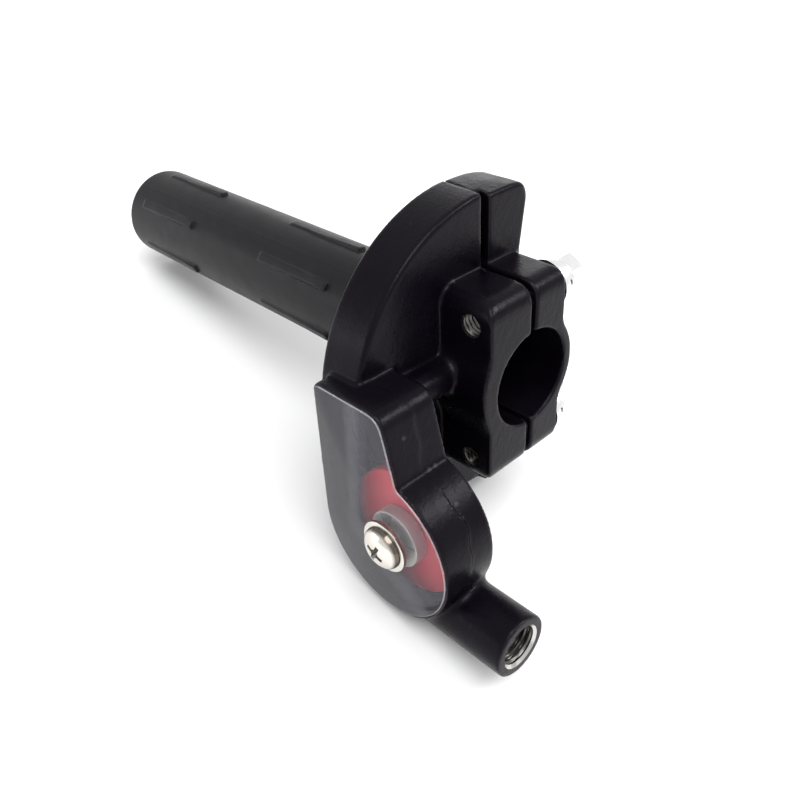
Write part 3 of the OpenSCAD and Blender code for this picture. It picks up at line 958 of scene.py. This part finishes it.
def window_screw(nickel, recess):
    """M5 screw: domed pan head with a cross recess, and its shank in the boss."""
    seat, front, tip, shank = RING_LO[1], SCREW_LO[1], SCREW_HI[1], M5_SCREW[1]
    rows = []
    for r in (0.15, 0.8, 1.4, 2.0, 2.5, 2.9, 3.3, 3.6, 3.9, 4.15, 4.35):
        rows.append((r, front + (seat - 1.25 - front) * (r / 4.4) ** 3.0))
    rows += [(4.5, seat - 1.1), (4.62, seat - 0.9), (4.85, seat - 0.2), (4.78, seat - 0.06)]
    rows += [(4.6, seat), (shank + 0.01, seat + 0.01), (shank, seat + 1.5)]
    rows += screw_rows(seat + 1.6, tip - 0.7, M5_SCREW)
    rows += [(2.0, tip - 0.3), (1.6, tip)]
    piece = turned("window_screw", rows, 96, [nickel], "y", ROLL_AXIS)
    tools = []
    # the cutters carry the recess material, so the recess walls get its painted shade
    for turn in (25, 115):
        along = np.array([math.cos(math.radians(turn)), 0, -math.sin(math.radians(turn))])
        across = np.array([along[2], 0, -along[0]])
        verts = []
        for y, reach, half in ((front - 0.5, 2.75, 0.55), (front + 1.7, 1.1, 0.3)):
            for a, b in ((-1, -1), (1, -1), (1, 1), (-1, 1)):
                verts.append(along * reach * a + across * half * b + (ROLL_X, y, ROLL_Z))
        tools.append(make_object("driver", verts, ring_faces(2, 4, False), [recess]))
    core = [(1.15, front - 0.5), (0.85, front + 0.9), (0.2, front + 2.0)]
    tools.append(turned("driver", core, 24, [recess], "y", ROLL_AXIS))
    combine(piece, tools)
    return finish_piece(piece, "housing", "window_screw", 25)


def ring_piece(name, profile, material, body):
    """A turned ring on the roller's axis."""
    piece = turned(name, profile, 128, [material], "y", ROLL_AXIS, True)
    return finish_piece(piece, body, name)


def roller_and_bush(red, alloy, nickel):
    """The roller on its shouldered bush, and the washer under the screw's head."""
    back, front = ROLL_HI[1], ROLL_LO[1]
    rim, head = (ROLL_HI[0] - ROLL_LO[0]) / 2, (BUSH_HI[0] - BUSH_LO[0]) / 2
    shank, hole, groove = 5.0, 2.6, rim - 1.3
    journal = shank + 0.06
    roller = [(journal, back), (rim, back), (rim, CABLE_Y + 1.1), (groove, CABLE_Y + 0.7),
              (groove, CABLE_Y - 0.7), (rim, CABLE_Y - 1.1), (rim, front), (journal, front)]
    bush = [(hole, PAD_Y), (shank, PAD_Y), (shank, front - 0.1), (head, front - 0.1),
            (head, WIN_BACK), (hole, WIN_BACK)]
    washer = ring_section(WINDOW_HOLE_R, 5.9, RING_HI[1], RING_LO[1], 0.28)
    ring_piece("cable_roller", rounded(roller, 0.5), red, "roller")
    ring_piece("roller_bush", rounded(bush, 0.3), alloy, "housing")
    ring_piece("screw_washer", washer, nickel, "housing")


def window(clear, edge):
    """The clear sheet, with a frosted bevel round its front face and a hole for the screw."""
    front = WIN_LO[1]
    levels = [(-0.24, front), (-0.08, front + 0.05), (0.0, front + 0.22),
              (0.0, WIN_BACK - 0.12), (-0.12, WIN_BACK)]
    piece = plate("window_cover", levels, [clear, edge])
    for face in piece.data.polygons:
        bevel = face.center.y / MM < front + 0.26 and abs(face.normal.y) < 0.97
        face.material_index = int(bevel)
    combine(piece, [drill(WINDOW_HOLE_R, front - 1, WIN_BACK + 1, "y", ROLL_AXIS, edge, 48)])
    return finish_piece(piece, "housing", "window_cover")


camera()
studio()
floor(paper_floor())
GLINT, SHADE = (0.80, 0.77, 0.71), (0.70, 0.67, 0.61)     # polished nickel
BLACK = cast_black()
# painted shade: bare metal darkened to the shade inside the tapped holes and the cable passage
BARE_IN_SHADE = bright_metal("bare_alloy_shaded", (0.17, 0.165, 0.155), (0.07, 0.068, 0.063), 0.3, 0.3)
# painted shade: a darker copy of the screw's nickel for the walls of its cross recess
RECESS_SHADE = bright_metal("recess", (0.30, 0.28, 0.25), (0.12, 0.11, 0.10), 0.4, 0.3)
NICKEL = bright_metal("nickel", GLINT, SHADE, 0.14)
front_housing(BLACK, BARE_IN_SHADE, bright_metal("fresh_cut", (0.62, 0.61, 0.59), (0.46, 0.45, 0.44), 0.2))
rear_cap(BLACK)
throttle_tube(tube_plastic())
clamp_fasteners(bright_metal("bright_zinc", (0.99, 0.99, 1.0), (0.94, 0.94, 0.95), 0.18))
# the screw's nickel gets painted shade towards its seat under the head
SCREW = bright_metal("screw_nickel", GLINT, SHADE, 0.14, seat_shade=(RING_LO[1] - 1.5, RING_LO[1] - 0.9))
window_screw(SCREW, RECESS_SHADE)
BUSH = bright_metal("bush_alloy", (0.66, 0.65, 0.64), (0.56, 0.55, 0.54), 0.6)
roller_and_bush(red_nylon(), BUSH, NICKEL)
window(clear_window(), window_edge())
